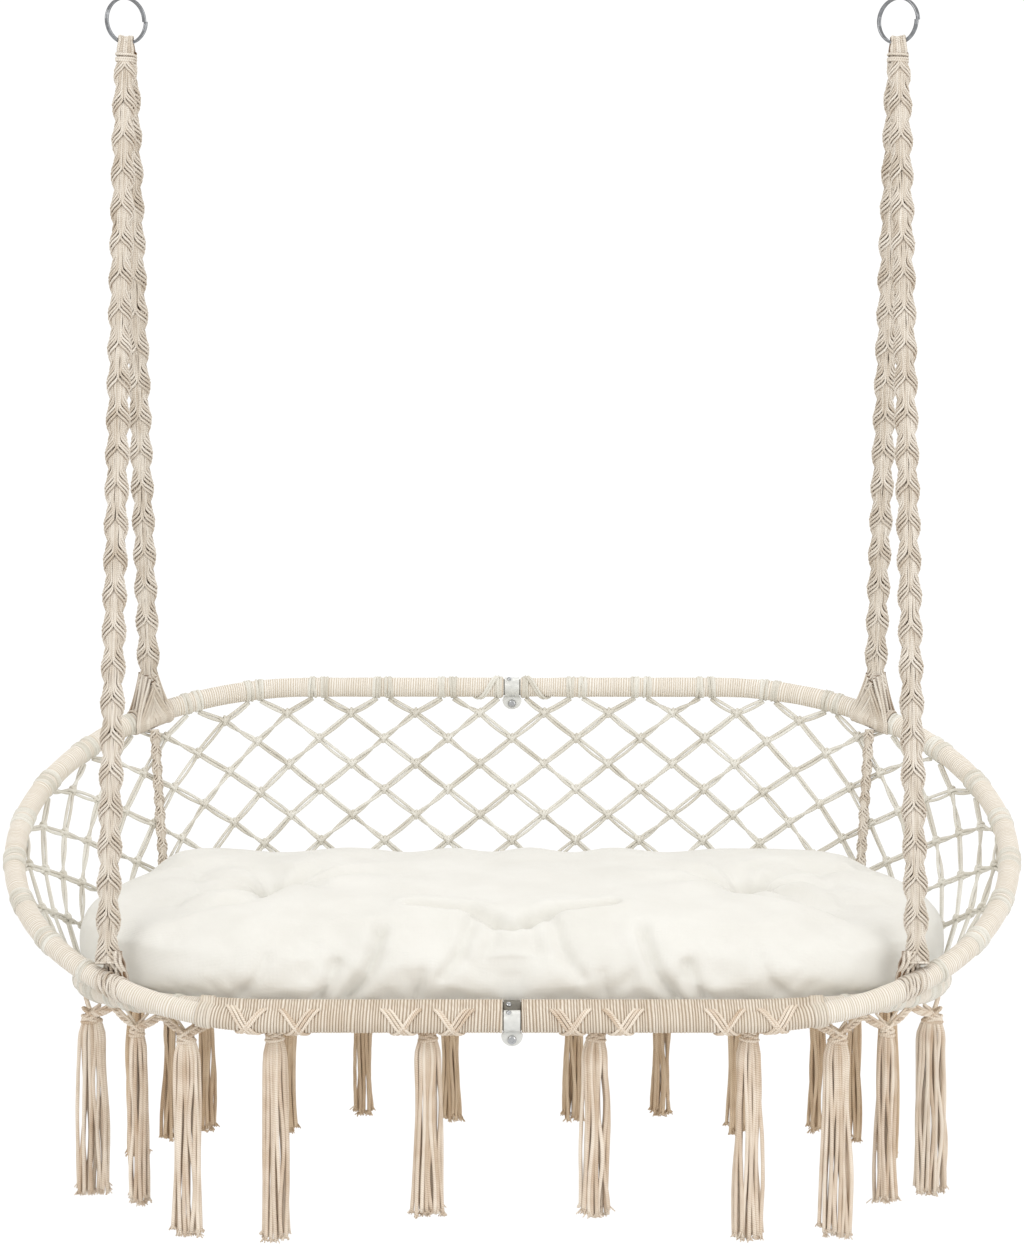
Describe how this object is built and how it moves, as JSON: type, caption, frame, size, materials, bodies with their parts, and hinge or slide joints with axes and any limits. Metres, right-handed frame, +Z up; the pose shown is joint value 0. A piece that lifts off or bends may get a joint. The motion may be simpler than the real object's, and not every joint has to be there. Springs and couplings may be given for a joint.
{
  "type": "hanging chair",
  "caption": "Wide macrame hanging chair: level seat hoop nested in a tilted back hoop, knotted netting between them, loose cushion, long tassels, hung by braided ropes from a ring at each side.",
  "frame": {"origin": "midway between the two hook points, which are at the inside top of the rings", "axes": "+X to the viewer's right along the hoops, +Y away from the chair's open front, +Z up"},
  "size_m": [1.298, 0.6569, 1.5325],
  "materials": {
    "chrome": "polished",
    "painted_steel": "satin",
    "cotton_rope": "matte",
    "cotton_winding": "matte",
    "cotton_net": "matte",
    "cotton_tassel": "matte",
    "cushion_canvas": "matte"
  },
  "bodies": {
    "rings": {"left_ring": "chrome", "right_ring": "chrome"},
    "left_hanger": {"left_hanging_eye": "cotton_rope", "left_whipping": "cotton_winding"},
    "right_hanger": {"right_hanging_eye": "cotton_rope", "right_whipping": "cotton_winding"},
    "left_ropes": {"left_front_rope": "cotton_rope", "left_rear_rope": "cotton_rope"},
    "right_ropes": {"right_front_rope": "cotton_rope", "right_rear_rope": "cotton_rope"},
    "seat_frame": {"left_front_rope_foot": "cotton_rope", "left_rear_rope_foot": "cotton_rope", "left_back_hoop_tube": "painted_steel", "left_seat_hoop_tube": "painted_steel", "left_back_hoop_winding": "cotton_winding", "left_seat_hoop_winding": "cotton_winding", "left_front_lashing": "cotton_winding", "left_side_net": "cotton_net", "left_rear_strap": "cotton_rope", "left_front_fringe": "cotton_tassel", "left_rear_fringe": "cotton_tassel", "right_front_rope_foot": "cotton_rope", "right_rear_rope_foot": "cotton_rope", "right_back_hoop_tube": "painted_steel", "right_seat_hoop_tube": "painted_steel", "right_back_hoop_winding": "cotton_winding", "right_seat_hoop_winding": "cotton_winding", "right_front_lashing": "cotton_winding", "right_side_net": "cotton_net", "right_rear_strap": "cotton_rope", "right_front_fringe": "cotton_tassel", "right_rear_fringe": "cotton_tassel", "back_net": "cotton_net", "seat_net": "cotton_net", "back_hoop_rear_joiner": "painted_steel", "back_hoop_rear_clamp": "chrome", "back_hoop_rear_clamp_bolt": "chrome", "back_hoop_rear_clamp_nut": "chrome", "back_hoop_rear_clamp_screw": "chrome", "back_hoop_front_joiner": "painted_steel", "back_hoop_front_clamp": "chrome", "back_hoop_front_clamp_bolt": "chrome", "back_hoop_front_clamp_nut": "chrome", "back_hoop_front_clamp_screw": "chrome", "seat_hoop_rear_joiner": "painted_steel", "seat_hoop_rear_clamp": "chrome", "seat_hoop_rear_clamp_bolt": "chrome", "seat_hoop_rear_clamp_nut": "chrome", "seat_hoop_rear_clamp_screw": "chrome", "seat_hoop_front_joiner": "painted_steel", "seat_hoop_front_clamp": "chrome", "seat_hoop_front_clamp_bolt": "chrome", "seat_hoop_front_clamp_nut": "chrome", "seat_hoop_front_clamp_screw": "chrome"},
    "cushion": {"seat_cushion": "cushion_canvas"}
  },
  "joints": [
    {"name": "swing", "type": "hinge", "parent": "rings", "child": "left_hanger", "pos_m": [-0.488, 0, -0.052], "axis": [1, 0, 0], "range_deg": [-20, 20]},
    {"name": "sway", "type": "hinge", "parent": "left_hanger", "child": "left_ropes", "pos_m": [-0.488, 0, -0.052], "axis": [0, 0.8503, 0.5262], "range_deg": [-5, 5]},
    {"name": "seat_level", "type": "hinge", "parent": "left_ropes", "child": "seat_frame", "pos_m": [-0.488, -0.23664, -1.17929], "axis": [0, 0.8503, 0.5262], "range_deg": [-5, 5]},
    {"name": "swing_right", "type": "hinge", "parent": "rings", "child": "right_hanger", "pos_m": [0.488, 0, -0.052], "axis": [1, 0, 0], "range_deg": [-20, 20]},
    {"name": "sway_right", "type": "hinge", "parent": "right_hanger", "child": "right_ropes", "pos_m": [0.488, 0, -0.052], "axis": [0, 0.8503, 0.5262], "range_deg": [-5, 5]},
    {"name": "cushion_lift", "type": "slide", "parent": "seat_frame", "child": "cushion", "axis": [0, 0.2071, 0.9783], "range_m": [0, 0.15]}
  ],
  "couplings": [
    {"joint": "seat_level", "follows": "sway", "ratio": -1},
    {"joint": "swing_right", "follows": "swing", "ratio": 1},
    {"joint": "sway_right", "follows": "sway", "ratio": 1}
  ]
}
